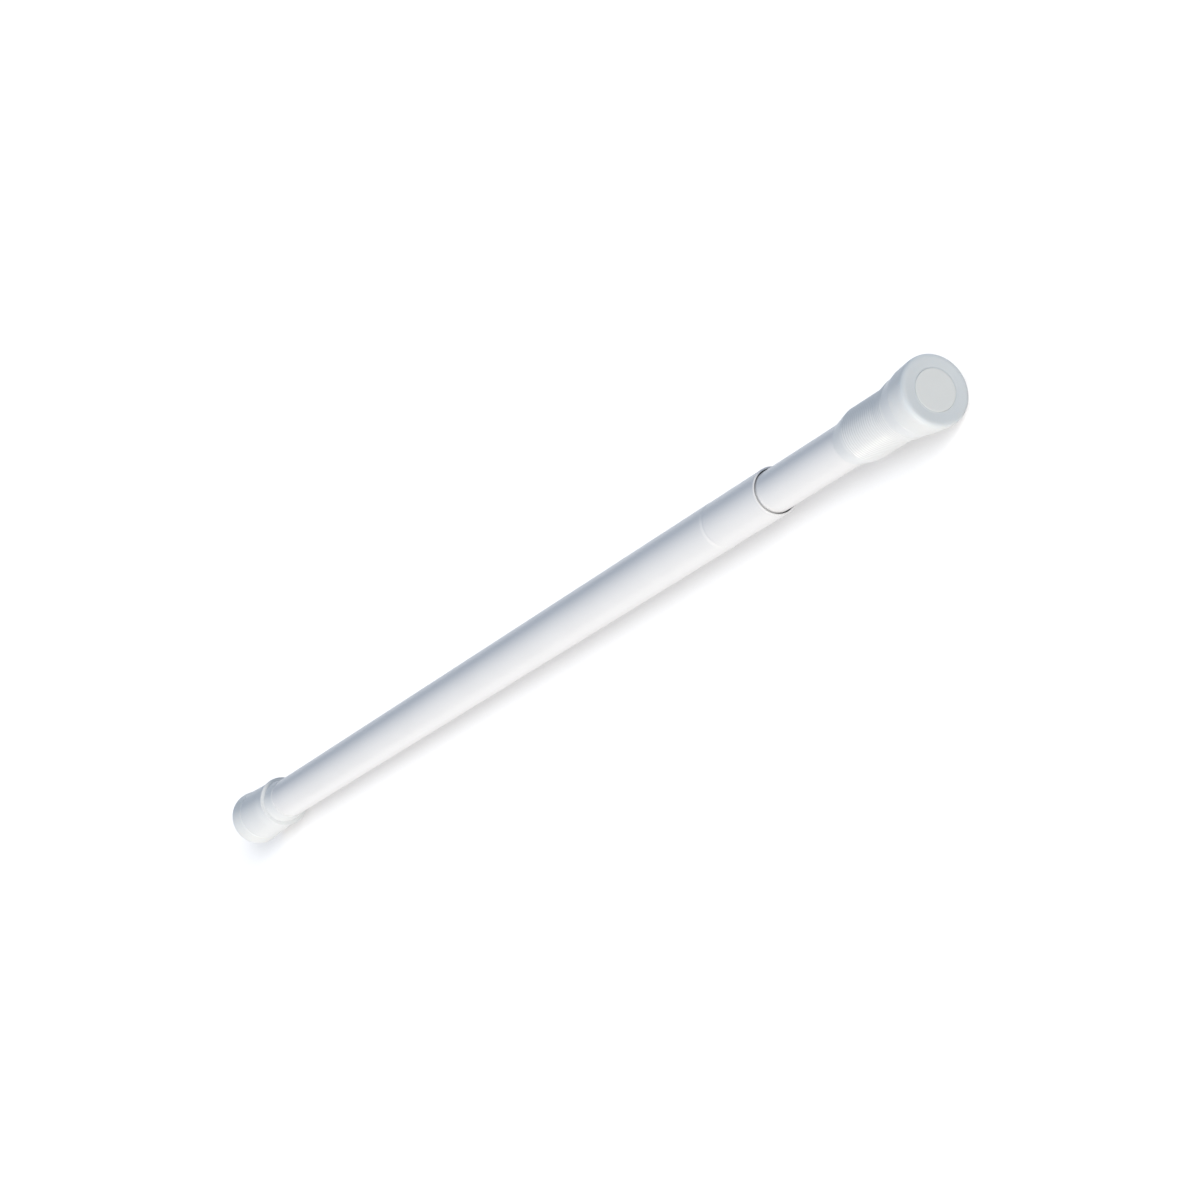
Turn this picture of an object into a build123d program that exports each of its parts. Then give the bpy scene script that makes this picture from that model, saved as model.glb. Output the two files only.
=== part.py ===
from build123d import *
import os
from math import pi, radians, tan

# A telescopic spring tension rod with a twist lock, lying along X.  The origin is the centre
# of the far foot's face, where that foot meets its wall; X runs along the rod to the near,
# ribbed end; Z is up.  Millimetres.  The rod is drawn unlocked and part extended.

# ---- Tubes ----
outer_tube_diameter = 22.0
outer_tube_wall = 0.8
outer_tube_length = 668.0
inner_tube_diameter = 19.0
inner_tube_wall = 0.8
shown_inner_tube = 70.0      # bare inner tube between the mouth and the grip cap

# ---- Rolled grooves that grip what is inside a tube ----
groove_depth = 0.4
groove_half_width = 1.6
groove_rounding = 0.8
crimp_to_mouth = 50.0        # outer tube's groove, from its mouth
mouth_swage = 0.1            # the mouth is drawn down this much past the groove
mouth_edge_rounding = 0.25

# ---- Soft feet, the same at both ends ----
foot_face_radius = 13.3
foot_edge_rounding = 1.8
foot_thickness = 3.2
foot_sleeve_length = 9.8     # over the cap's head
foot_sleeve_wall = 1.85      # at its thick end
foot_lip_wall = 1.05         # at its open edge
foot_sleeve_rounding = 2.5   # where the rim runs into the sleeve
foot_ring_inner = 9.0        # shallow sloping ring in the face, around the stud's head
foot_ring_outer = 12.9
foot_ring_depth = 0.45       # at the stud's head
foot_lip_rounding = 0.5

# ---- Foot studs and the plugs they snap into ----
stud_head_thickness = 1.6
stud_head_rounding = 0.35
stud_shank_radius = 3.0
stud_grip_length = 10.0      # plug thickness behind which the barb opens
stud_barb_radius = 3.5
stud_barb_length = 2.0
stud_tip_drop = 0.8          # tip, below the shank
stud_split_width = 1.2
plug_length = 16.0
plug_relief_radius = 4.0
plug_lead_in = 1.0

# ---- End caps ----
head_wall = 2.4              # cap head, outside the outer tube
web_thickness = 2.3          # closes the cap's socket
cap_rounding = 14.0          # blends the flares
head_edge_rounding = 0.5
shoulder_drop = 0.1          # cap shoulder below the foot's lip
shoulder_rounding = 0.5
grip_flare_length = 17.0     # foot's lip to the neck
grip_waist_wall = 3.4        # halfway down the flare, outside the inner tube
grip_neck_wall = 2.0
grip_neck_length = 28.5
grip_nose_length = 9.0
grip_nose_wall = 0.35
nose_edge_rounding = 0.15
neck_edge_rounding = 0.8
rib_pitch = 1.7
rib_height = 0.3
rib_margin = 1.5             # plain neck before the first rib
ribs_up_flare = 10.0         # how far the ribs go on up the flare
cup_waist_wall = 2.7         # far cup, outside the outer tube
cup_waist_to_collar = 9.0
cup_neck_wall = 1.7
cup_length = 43.3            # head to collar
collar_wall = 3.1
collar_land = 1.8
collar_step_wall = 1.0       # nose at the foot of the flange's face
collar_nose_length = 10.7
collar_nose_wall = 0.35
collar_edge_rounding = 0.4
collar_nose_rounding = 0.2

# ---- Guide bush in the mouth ----
bush_recess = 3.0            # back from the mouth, so that the gap shows
bush_to_crimp = 0.2

# ---- Twist lock ----
spring_travel = 16.0
mouth_clearance = 1.0        # left at the mouth with the rod shut and its spring pressed
tip_clearance = 4.0          # spindle to far plug with the rod shut
spindle_radius = 4.0         # M8 thread, drawn plain
spindle_tip_radius = 3.0
thread_pitch = 1.25
lock_turns = 1.5
nut_across_flats = 13.0
nut_length = 6.5
nut_to_cone = 2.0
cone_length = 15.0
cone_angle = 8.0
cone_in_collet = 7.0         # cone's nose inside the fingers when unlocked
cone_seat_gap = 0.05         # cone to fingers when drawn home
cone_key_width = 1.4
cone_key_height = 2.0
cone_key_root = 1.0          # the keys start this far outside the bore
cone_edge_rounding = 0.4
collet_gap = 0.25            # collet to outer tube when unlocked
finger_wall = 3.15           # at the collet's mouth
finger_count = 6
finger_pad_length = 12.0
finger_slot_width = 1.8
finger_waist_length = 8.0
finger_waist_wall = 2.5
finger_edge_rounding = 0.5
finger_shoulder = 1.0        # slope from the pads to the waist
hub_edge_rounding = 0.4
hub_length = 8.0
hub_clearance = 0.3
drag_wire_radius = 0.5
drag_ring_gap = 20.0         # degrees left open
washer_thickness = 1.0
washer_radius = 8.5
spindle_collar_radius = 6.5
spindle_collar_length = 3.0
spindle_collar_gap = 0.3
spindle_edge_rounding = 0.3
spigot_drop = 0.5            # spigot, below the hexagon's flats
spigot_back = 1.0            # spigot, short of the spring head's face
nut_recess = 0.5             # nut, short of the spindle's tip
hex_across_flats = 8.0

# ---- Spring and the pieces it works between ----
bush_flange_length = 3.0
end_bush_length = 20.0
travel_margin = 1.0          # collar to end bush at full spring travel
head_gap = 0.3               # spring head to end bush at rest
spring_head_length = 8.0
head_clearance = 0.4         # spring head to inner tube
head_pin_radius = 1.25
spring_length = 80.0
spring_wire = 1.8
spring_turns = 18
spring_clearance = 1.0       # spring to inner tube
pilot_length = 4.0
pilot_clearance = 0.4
spring_seat_length = 10.0
lead_in_rounding = 0.6       # on moulded pieces that enter a tube
flange_edge_rounding = 0.4
pin_inset = 0.5              # cross pin, inside the spring head

# ---- Fits ----
running_gap = 0.05           # shaft in a bush
flange_gap = 0.1             # end bush flange in the outer tube
hex_gap = 0.1
press_gap = 0.02             # pressed or glued pieces, per side

# ---- Radii that follow ----
outer_radius = outer_tube_diameter / 2
outer_bore = outer_radius - outer_tube_wall
inner_radius = inner_tube_diameter / 2
inner_bore = inner_radius - inner_tube_wall
head_radius = outer_radius + head_wall
foot_lip_radius = head_radius + foot_lip_wall
shoulder_radius = foot_lip_radius - shoulder_drop
stud_head_radius = foot_ring_inner - running_gap
collet_radius = outer_bore - collet_gap
collet_mouth_radius = collet_radius - finger_wall
cone_slope = tan(radians(cone_angle))
lock_draw = thread_pitch * lock_turns
spring_radius = inner_bore - spring_clearance - spring_wire / 2
pilot_radius = spring_radius - spring_wire / 2 - pilot_clearance

# ---- Stations along X that follow ----
far_head = foot_thickness
far_tube_end = far_head + web_thickness
far_plug_end = far_tube_end + plug_length
collar_start = far_head + cup_length
mouth = far_tube_end + outer_tube_length
crimp = mouth - crimp_to_mouth
nose = mouth + shown_inner_tube
grip_neck = nose + grip_nose_length
grip_flare = grip_neck + grip_neck_length
near_lip = grip_flare + grip_flare_length
near_head = near_lip + foot_sleeve_length
rod_length = near_head + foot_thickness
near_tube_end = near_head - web_thickness

telescope_in = shown_inner_tube - spring_travel - mouth_clearance
spindle_tip = far_plug_end + telescope_in + tip_clearance
cone_back = spindle_tip + nut_length + nut_to_cone
cone_nose = cone_back + cone_length
collet_start = cone_nose - cone_in_collet
waist_start = collet_start + finger_pad_length
hub_start = waist_start + finger_waist_length
collet_end = hub_start + hub_length
collar_face = collet_end + washer_thickness + spindle_collar_gap
hex_start = collar_face + spindle_collar_length
bush_flange = hex_start + spring_travel + travel_margin
inner_tube_start = bush_flange + bush_flange_length
end_bush_end = inner_tube_start + end_bush_length
spring_head = end_bush_end + head_gap
spring_start = spring_head + spring_head_length
spring_end = spring_start + spring_length
seat_end = spring_end + spring_seat_length


def turned(*corners):
    """Turn a closed outline about X; each corner is (x, radius) or (x, radius, rounding)."""
    points = [(corner[0], corner[1]) for corner in corners]
    roundings = [corner[2] if len(corner) > 2 else 0 for corner in corners]
    outline = FilletPolyline(*points, radius=roundings, close=True)
    return revolve(make_face(outline), Axis.X)


def ring(start, end, inner, outer):
    """Plain ring or washer about X."""
    return turned((start, inner), (end, inner), (end, outer), (start, outer))


def rod(start, end, radius):
    """Plain round bar about X."""
    return turned((start, 0), (end, 0), (end, radius), (start, radius))


def hex_bar(start, end, across_flats):
    """Hexagonal bar along X."""
    outline = Plane.YZ.offset(start) * RegularPolygon(across_flats / 2, 6, major_radius=False)
    return extrude(outline, amount=end - start)


def groove(centre, radius, after=0.0):
    """Corners of a rolled groove; the surface goes on at `radius - after` past it."""
    return [
        (centre - groove_half_width, radius, groove_rounding),
        (centre, radius - groove_depth, groove_rounding),
        (centre + groove_half_width, radius - after, groove_rounding),
    ]


def from_end(corners, end, outward):
    """Place (distance, radius, ...) corners from a rod end; `outward` is the end's X sign."""
    return [(end - outward * corner[0], *corner[1:]) for corner in corners]


# ---- Soft feet, studs and plugs ----
def foot(end, outward):
    """Soft foot: thick face with a shallow ring, and a sleeve over the cap's head."""
    face_radius = foot_face_radius + foot_edge_rounding
    sleeve_radius = head_radius + foot_sleeve_wall
    lip = foot_thickness + foot_sleeve_length
    shank_hole = stud_shank_radius + running_gap
    corners = [
        (0, foot_ring_outer),
        (0, face_radius, foot_edge_rounding),
        (foot_thickness, sleeve_radius, foot_sleeve_rounding),
        (lip, foot_lip_radius, foot_lip_rounding),
        (lip, head_radius + press_gap),
        (foot_thickness, head_radius + press_gap),
        (foot_thickness, shank_hole),
        (stud_head_thickness, shank_hole),
        (stud_head_thickness, foot_ring_inner),
        (foot_ring_depth, foot_ring_inner),
    ]
    return turned(*from_end(corners, end, outward))


def stud(end, outward):
    """Push-in stud: flush head, round shank and a split barb behind the plug."""
    barb = foot_thickness + web_thickness + stud_grip_length
    tip = barb + stud_barb_length
    corners = [
        (0, 0),
        (0, stud_head_radius, stud_head_rounding),
        (stud_head_thickness, stud_head_radius),
        (stud_head_thickness, stud_shank_radius),
        (barb, stud_shank_radius),
        (barb, stud_barb_radius),
        (tip, stud_shank_radius - stud_tip_drop),
        (tip, 0),
    ]
    split_length = stud_grip_length
    split_middle = end - outward * (tip - split_length / 2)
    split = Pos(split_middle, 0, 0) * Box(split_length, stud_split_width, 4 * stud_barb_radius)
    return turned(*from_end(corners, end, outward)) - split


def tube_plug(end, outward, bore):
    """Plug in a tube's end; the stud's barb opens in its relief."""
    start = foot_thickness + web_thickness
    grip = start + stud_grip_length
    radius = bore - press_gap
    corners = [
        (start, stud_shank_radius + running_gap),
        (start, radius),
        (start + plug_length, radius, plug_lead_in),
        (start + plug_length, plug_relief_radius),
        (grip, plug_relief_radius),
        (grip, stud_shank_radius + running_gap),
    ]
    return turned(*from_end(corners, end, outward))


def far_foot():
    return foot(0, -1)


def far_stud():
    return stud(0, -1)


def far_plug():
    return tube_plug(0, -1, outer_bore)


def near_foot():
    return foot(rod_length, 1)


def near_stud():
    return stud(rod_length, 1)


def near_plug():
    return tube_plug(rod_length, 1, inner_bore)


# ---- Caps and collar ----
def far_cup():
    """Far end cap: a socket for the outer tube, tapering to a plain neck."""
    socket = outer_radius + press_gap
    lip = far_head + foot_sleeve_length
    waist = collar_start - cup_waist_to_collar
    return turned(
        (far_head, stud_shank_radius + running_gap),
        (far_head, head_radius, head_edge_rounding),
        (lip, head_radius),
        (lip, shoulder_radius, shoulder_rounding),
        (waist, outer_radius + cup_waist_wall, cap_rounding),
        (collar_start, outer_radius + cup_neck_wall),
        (collar_start, socket),
        (far_tube_end, socket),
        (far_tube_end, stud_shank_radius + running_gap),
    )


def far_collar():
    """Flanged ring on the outer tube that backs the far cup, with a tapered nose."""
    socket = outer_radius + press_gap
    nose_start = collar_start + collar_land
    nose_end = nose_start + collar_nose_length
    return turned(
        (collar_start, socket),
        (collar_start, outer_radius + collar_wall, collar_edge_rounding),
        (nose_start, outer_radius + collar_wall, collar_edge_rounding),
        (nose_start, outer_radius + collar_step_wall),
        (nose_end, outer_radius + collar_nose_wall, collar_nose_rounding),
        (nose_end, socket),
    )


def grip_cap():
    """Near end cap: a flared head, a finely ribbed neck to grip and a tapered nose."""
    socket = inner_radius + press_gap
    neck_radius = inner_radius + grip_neck_wall
    flare_middle = grip_flare + grip_flare_length / 2
    waist_radius = inner_radius + grip_waist_wall
    flare_slope = (waist_radius - neck_radius) / (flare_middle - grip_flare)
    corners = [
        (nose, socket),
        (nose, inner_radius + grip_nose_wall, nose_edge_rounding),
        (grip_neck, neck_radius, neck_edge_rounding),
    ]
    first_rib = grip_neck + rib_margin
    rib_count = int((grip_flare + ribs_up_flare - first_rib) / rib_pitch)
    for index in range(2 * rib_count + 1):
        station = first_rib + index * rib_pitch / 2
        root = neck_radius + max(0, station - grip_flare) * flare_slope
        corners.append((station, root + (index % 2) * rib_height))
    corners += [
        (near_lip, shoulder_radius, shoulder_rounding),
        (near_lip, head_radius),
        (near_head, head_radius, head_edge_rounding),
        (near_head, stud_shank_radius + running_gap),
        (near_tube_end, stud_shank_radius + running_gap),
        (near_tube_end, socket),
    ]
    return turned(*corners)


# ---- Tubes and the guide bush ----
def outer_tube():
    """Outer tube with its rolled groove and swaged mouth."""
    mouth_radius = outer_radius - mouth_swage
    return turned(
        (far_tube_end, outer_radius),
        *groove(crimp, outer_radius, mouth_swage),
        (mouth, mouth_radius, mouth_edge_rounding),
        (mouth, mouth_radius - outer_tube_wall, mouth_edge_rounding),
        *reversed(groove(crimp, outer_bore, mouth_swage)),
        (far_tube_end, outer_bore),
    )


def inner_tube():
    """Inner tube with two rolled grooves, over the end bush and over the spring seat."""
    bush_groove = inner_tube_start + end_bush_length / 2
    seat_groove = spring_end + spring_seat_length / 2
    return turned(
        (inner_tube_start, inner_radius),
        *groove(bush_groove, inner_radius),
        *groove(seat_groove, inner_radius),
        (near_tube_end, inner_radius),
        (near_tube_end, inner_bore),
        *reversed(groove(seat_groove, inner_bore)),
        *reversed(groove(bush_groove, inner_bore)),
        (inner_tube_start, inner_bore),
    )


def mouth_bush():
    """Nylon sleeve that guides the inner tube between the groove and the mouth."""
    start = crimp + groove_half_width + bush_to_crimp
    outside = outer_bore - mouth_swage - press_gap
    return ring(start, mouth - bush_recess, inner_radius + running_gap, outside)


# ---- Twist lock ----
def lock_collet():
    """Slotted nylon collet: fingers that spread on the cone, a thin waist and a hub."""
    taper_end = collet_mouth_radius - cone_slope * finger_pad_length
    ring_station = (hub_start + collet_end) / 2
    groove_half = drag_wire_radius + running_gap
    groove_floor = outer_bore - 2 * drag_wire_radius - 2 * flange_gap
    body = turned(
        (collet_start, collet_mouth_radius),
        (collet_start, collet_radius, finger_edge_rounding),
        (waist_start, collet_radius, finger_edge_rounding),
        (waist_start + finger_shoulder, taper_end + finger_waist_wall, finger_edge_rounding),
        (hub_start, taper_end + finger_waist_wall, finger_edge_rounding),
        (hub_start, collet_radius, hub_edge_rounding),
        (ring_station - groove_half, collet_radius),
        (ring_station - groove_half, groove_floor),
        (ring_station + groove_half, groove_floor),
        (ring_station + groove_half, collet_radius),
        (collet_end, collet_radius, hub_edge_rounding),
        (collet_end, spindle_radius + hub_clearance),
        (hub_start, spindle_radius + hub_clearance),
        (hub_start, taper_end),
        (waist_start, taper_end),
    )
    slot_length = finger_pad_length + finger_waist_length - finger_shoulder
    slot = Box(slot_length, finger_slot_width, outer_radius)
    slot = Pos(collet_start + slot_length / 2, 0, outer_radius / 2) * slot
    for index in range(finger_count):
        body -= Rot(X=360 / finger_count * index) * slot
    return body


def drag_ring():
    """Open wire ring in the hub's groove, which rubs the outer tube's bore."""
    ring_station = (hub_start + collet_end) / 2
    ring_radius = outer_bore - flange_gap - drag_wire_radius
    wire = Pos(ring_station, ring_radius, 0) * Circle(drag_wire_radius)
    return revolve(wire, Axis.X, 360 - drag_ring_gap)


def thrust_washer():
    """Steel washer between the collet's hub and the spindle's collar."""
    inner = spindle_radius + hub_clearance
    return ring(collet_end, collet_end + washer_thickness, inner, washer_radius)


def lock_cone():
    """Threaded cone with two keys that slide in the collet's slots."""
    drawn_mouth = collet_mouth_radius - cone_seat_gap
    mouth_to_back = collet_start - cone_back - lock_draw
    back_radius = drawn_mouth + cone_slope * mouth_to_back
    nose_radius = back_radius - cone_slope * cone_length
    bore = spindle_radius + running_gap
    body = turned(
        (cone_back, bore),
        (cone_back, back_radius, cone_edge_rounding),
        (cone_nose, nose_radius),
        (cone_nose, bore),
    )
    key_top = back_radius + cone_key_height
    key_bottom = bore + cone_key_root
    key = Box(cone_length, cone_key_width, key_top - key_bottom)
    key = Pos((cone_back + cone_nose) / 2, 0, (key_top + key_bottom) / 2) * key
    return body + key + Rot(X=180) * key


def spindle():
    """Steel spindle: threaded end, thrust collar, hexagonal bar and a spigot for the head."""
    shoulder = spindle_tip + nut_length
    spigot_radius = hex_across_flats / 2 - spigot_drop
    spigot_end = spring_start - spigot_back
    body = turned(
        (spindle_tip, 0),
        (spindle_tip, spindle_tip_radius, spindle_edge_rounding),
        (shoulder, spindle_tip_radius),
        (shoulder, spindle_radius, spindle_edge_rounding),
        (collar_face, spindle_radius),
        (collar_face, spindle_collar_radius, spindle_edge_rounding),
        (hex_start, spindle_collar_radius, spindle_edge_rounding),
        (hex_start, 0),
    )
    body += hex_bar(hex_start, spring_head, hex_across_flats)
    body += rod(spring_head, spigot_end, spigot_radius)
    pin_hole = Rot(X=90) * Cylinder(head_pin_radius + press_gap, 4 * spindle_radius)
    return body - Pos(spring_head + spring_head_length / 2, 0, 0) * pin_hole


def stop_nut():
    """Nut on the spindle's tip that keeps the cone on the thread."""
    shoulder = spindle_tip + nut_length
    nut = hex_bar(spindle_tip + nut_recess, shoulder, nut_across_flats)
    return nut - rod(spindle_tip, spindle_tip + 2 * nut_length, spindle_tip_radius + press_gap)


def spring_head_disc():
    """Nylon head on the spindle that carries the spring, with a pilot inside its coils."""
    spigot_radius = hex_across_flats / 2 - spigot_drop
    radius = inner_bore - head_clearance
    body = turned(
        (spring_head, spigot_radius + press_gap),
        (spring_head, radius, lead_in_rounding),
        (spring_start, radius, lead_in_rounding),
        (spring_start, pilot_radius),
        (spring_start + pilot_length, pilot_radius, lead_in_rounding),
        (spring_start + pilot_length, 0),
        (spring_start, 0),
        (spring_start - spigot_back, spigot_radius + press_gap),
    )
    pin_hole = Rot(X=90) * Cylinder(head_pin_radius + press_gap, 3 * radius)
    return body - Pos(spring_head + spring_head_length / 2, 0, 0) * pin_hole


def head_pin():
    """Cross pin that holds the spring head on the spindle."""
    length = 2 * (inner_bore - head_clearance - pin_inset)
    pin = Rot(X=90) * Cylinder(head_pin_radius, length)
    return Pos(spring_head + spring_head_length / 2, 0, 0) * pin


# ---- Pieces fixed in the inner tube ----
def tube_end_bush():
    """Keyed bush in the inner tube's end: it turns the spindle and slides along it."""
    radius = inner_bore - press_gap
    body = turned(
        (bush_flange, 0),
        (bush_flange, outer_bore - flange_gap, flange_edge_rounding),
        (inner_tube_start, outer_bore - flange_gap, flange_edge_rounding),
        (inner_tube_start, radius),
        *groove(inner_tube_start + end_bush_length / 2, radius),
        (end_bush_end, radius, lead_in_rounding),
        (end_bush_end, 0),
    )
    return body - hex_bar(bush_flange, end_bush_end, hex_across_flats + 2 * hex_gap)


def spring_seat():
    """Plug across the inner tube that the spring pushes on."""
    radius = inner_bore - press_gap
    return turned(
        (spring_end - pilot_length, 0),
        (spring_end - pilot_length, pilot_radius, lead_in_rounding),
        (spring_end, pilot_radius),
        (spring_end, radius),
        *groove(spring_end + spring_seat_length / 2, radius),
        (seat_end, radius, lead_in_rounding),
        (seat_end, 0),
    )


def tension_spring():
    """Compression spring of round wire with its two ends ground flat."""
    path = Helix(
        pitch=spring_length / spring_turns,
        height=spring_length,
        radius=spring_radius,
        center=(spring_start, 0, 0),
        direction=(1, 0, 0),
    )
    section = Plane(origin=path @ 0, z_dir=path % 0) * Circle(spring_wire / 2)
    coil = sweep(section, path=path, is_frenet=True)
    return coil & rod(spring_start, spring_end, 2 * spring_radius)


NODES = {
    "outer_tube": outer_tube,
    "mouth_bush": mouth_bush,
    "far_cup": far_cup,
    "far_collar": far_collar,
    "far_foot": far_foot,
    "far_foot_stud": far_stud,
    "far_tube_plug": far_plug,
    "lock_collet": lock_collet,
    "drag_ring": drag_ring,
    "thrust_washer": thrust_washer,
    "lock_cone": lock_cone,
    "spindle": spindle,
    "stop_nut": stop_nut,
    "spring_head": spring_head_disc,
    "head_pin": head_pin,
    "inner_tube": inner_tube,
    "tube_end_bush": tube_end_bush,
    "spring_seat": spring_seat,
    "tension_spring": tension_spring,
    "near_tube_plug": near_plug,
    "grip_cap": grip_cap,
    "near_foot": near_foot,
    "near_foot_stud": near_stud,
}

os.makedirs("parts", exist_ok=True)
for node, make in NODES.items():
    solid = make()
    solid.label = node
    export_step(solid, f"parts/{node}.step")

print(f"rod length {rod_length:.2f}, mouth {mouth:.2f}, nose {nose:.2f}, inner tube {inner_tube_start:.2f}")
print(f"telescope in {telescope_in:.2f}, out {crimp - groove_half_width - inner_tube_start:.2f}")
print(f"cone draw {lock_draw:.3f}, per radian {thread_pitch / (2 * pi):.6f}")
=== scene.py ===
"""Telescopic spring tension rod with ribbed grip and soft feet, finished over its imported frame.

The rod lies along X with its far foot's face at the origin; metres throughout.
"""
import math

import bmesh
import bpy
from bpy.props import FloatProperty, FloatVectorProperty, IntProperty, PointerProperty
from mathutils import Euler, Matrix, Vector


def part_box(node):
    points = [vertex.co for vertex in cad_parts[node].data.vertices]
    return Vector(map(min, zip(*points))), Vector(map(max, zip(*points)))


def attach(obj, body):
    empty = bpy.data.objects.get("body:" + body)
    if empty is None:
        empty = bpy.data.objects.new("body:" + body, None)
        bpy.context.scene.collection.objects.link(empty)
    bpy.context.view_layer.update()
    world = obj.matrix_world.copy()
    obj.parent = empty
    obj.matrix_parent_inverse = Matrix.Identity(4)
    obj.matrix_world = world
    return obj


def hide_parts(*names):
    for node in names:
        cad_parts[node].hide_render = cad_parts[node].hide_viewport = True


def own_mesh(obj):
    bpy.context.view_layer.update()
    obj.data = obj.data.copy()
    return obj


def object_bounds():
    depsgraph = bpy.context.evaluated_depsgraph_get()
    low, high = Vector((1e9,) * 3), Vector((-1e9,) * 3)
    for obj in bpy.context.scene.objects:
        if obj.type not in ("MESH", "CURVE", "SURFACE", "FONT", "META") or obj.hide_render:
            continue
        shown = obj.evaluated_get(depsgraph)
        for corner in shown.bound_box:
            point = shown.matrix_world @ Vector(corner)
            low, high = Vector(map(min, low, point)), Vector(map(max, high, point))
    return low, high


bl_info = {
    "name": "Tension Rod",
    "version": (1, 0, 0),
    "blender": (4, 5, 0),
    "location": "3D View > Sidebar > Tension Rod",
    "description": "Tubes, caps, feet, spring and twist lock of a telescopic tension rod",
    "category": "Object",
}

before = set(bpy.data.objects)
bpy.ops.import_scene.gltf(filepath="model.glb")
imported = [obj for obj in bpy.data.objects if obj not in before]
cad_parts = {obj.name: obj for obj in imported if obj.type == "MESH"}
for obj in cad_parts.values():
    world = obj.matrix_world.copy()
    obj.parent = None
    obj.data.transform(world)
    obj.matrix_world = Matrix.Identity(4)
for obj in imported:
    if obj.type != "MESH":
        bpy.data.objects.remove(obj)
CAD_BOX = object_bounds()

MM = 0.001
SEGMENTS = 192            # around each turned piece
ON_AXIS = 1e-7            # a smaller radius is a point on the axis
STRAIGHT = 0.001          # a corner that bends less, in radians, is left as it is
ARC_STEP = 9              # degrees between the points round a bend
LONG_RUN = 1.5 * MM       # a straight longer than this is held near each end
HOLD = 0.25 * MM          # how near
MOULD_LINE_TURN = 1 / 12  # of a turn, to where the mould's halves met

FIT = 0.02 * MM           # clearance of the caps on the tubes and of the feet on the heads
HEAD_WALL = 2.4 * MM      # caps' heads stand this far outside the outer tube
NOSE_TIP = 0.35 * MM      # noses end in a wall this thin
STUD_SHANK = 3.05 * MM    # radius of the hole for a stud's shank

ROD_MIDDLE = Vector((0.4, 0, 0))            # every lamp points here
FLOOR_HALF = 15.0                           # metres; its edge stays behind the horizon


# ---- Colour, nodes and outlines ----
def linear(hex_colour):
    """An sRGB hex colour as linear RGBA."""
    channels = [int(hex_colour[i:i + 2], 16) / 255 for i in (1, 3, 5)]
    return tuple(
        c / 12.92 if c <= 0.04045 else ((c + 0.055) / 1.055) ** 2.4 for c in channels
    ) + (1.0,)


def add(tree, kind, sockets=None, **settings):
    """Add a node with its settings; each socket takes a value or the output that feeds it."""
    node = tree.nodes.new(kind)
    for name, value in settings.items():
        setattr(node, name, value)
    for name, value in (sockets or {}).items():
        if isinstance(value, bpy.types.NodeSocket):
            tree.links.new(value, node.inputs[name])
        else:
            node.inputs[name].default_value = value
    return node


def per_mm(size):
    """Pattern scale that gives features of this many millimetres."""
    return 1 / (size * MM)


def waves(pitch):
    """Wave texture's scale for one band in this many metres; it turns 20 radians a unit."""
    return 2 * math.pi / (20 * pitch)


def left(node):
    """The piece's lowest X."""
    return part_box(node)[0][0]


def right(node):
    """The piece's highest X."""
    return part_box(node)[1][0]


def radius_of(node):
    """The piece's largest radius about the rod's axis."""
    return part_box(node)[1][2]


def rounded(corners):
    """Points round a closed outline of (x, radius, rounding) corners.

    Long straights get holding points near their ends, so that shading stays crisp.
    """
    drawn = []
    for index, corner in enumerate(corners):
        here = Vector(corner[:2])
        before = (Vector(corners[index - 1][:2]) - here).normalized()
        after = (Vector(corners[(index + 1) % len(corners)][:2]) - here).normalized()
        rounding = corner[2] if len(corner) > 2 else 0
        bend = math.pi - before.angle(after)
        if rounding == 0 or bend < STRAIGHT:
            drawn.append(here)
            continue
        reach = rounding * math.tan(bend / 2)
        centre = here + (before + after).normalized() * rounding / math.cos(bend / 2)
        start = here + before * reach - centre
        end = here + after * reach - centre
        way = 1 if start.x * end.y - start.y * end.x > 0 else -1
        steps = max(4, math.ceil(math.degrees(bend) / ARC_STEP))
        for step in range(steps + 1):
            drawn.append(centre + Matrix.Rotation(way * bend * step / steps, 2) @ start)
    held = []
    for index, here in enumerate(drawn):
        there = drawn[(index + 1) % len(drawn)]
        run = there - here
        held.append(here)
        if run.length > LONG_RUN:
            hold = run.normalized() * HOLD
            held += [here + hold, there - hold]
    return held


def new_piece(name, mesh, material, body, slot, *nodes):
    """Show a mesh as the piece that stands for the CAD nodes and rides on their body."""
    mesh.materials.append(material)
    piece = bpy.data.objects.new(name, mesh)
    bpy.context.scene.collection.objects.link(piece)
    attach(piece, body)
    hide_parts(*nodes)
    return piece


def closed_mesh(name, shape, sharp=32):
    """Finish a bmesh as a smooth closed mesh whose edges above `sharp` degrees stay crisp."""
    bmesh.ops.recalc_face_normals(shape, faces=shape.faces)
    mesh = bpy.data.meshes.new(name)
    shape.to_mesh(mesh)
    shape.free()
    mesh.polygons.foreach_set("use_smooth", [True] * len(mesh.polygons))
    mesh.set_sharp_from_angle(angle=math.radians(sharp))
    return mesh


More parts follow.
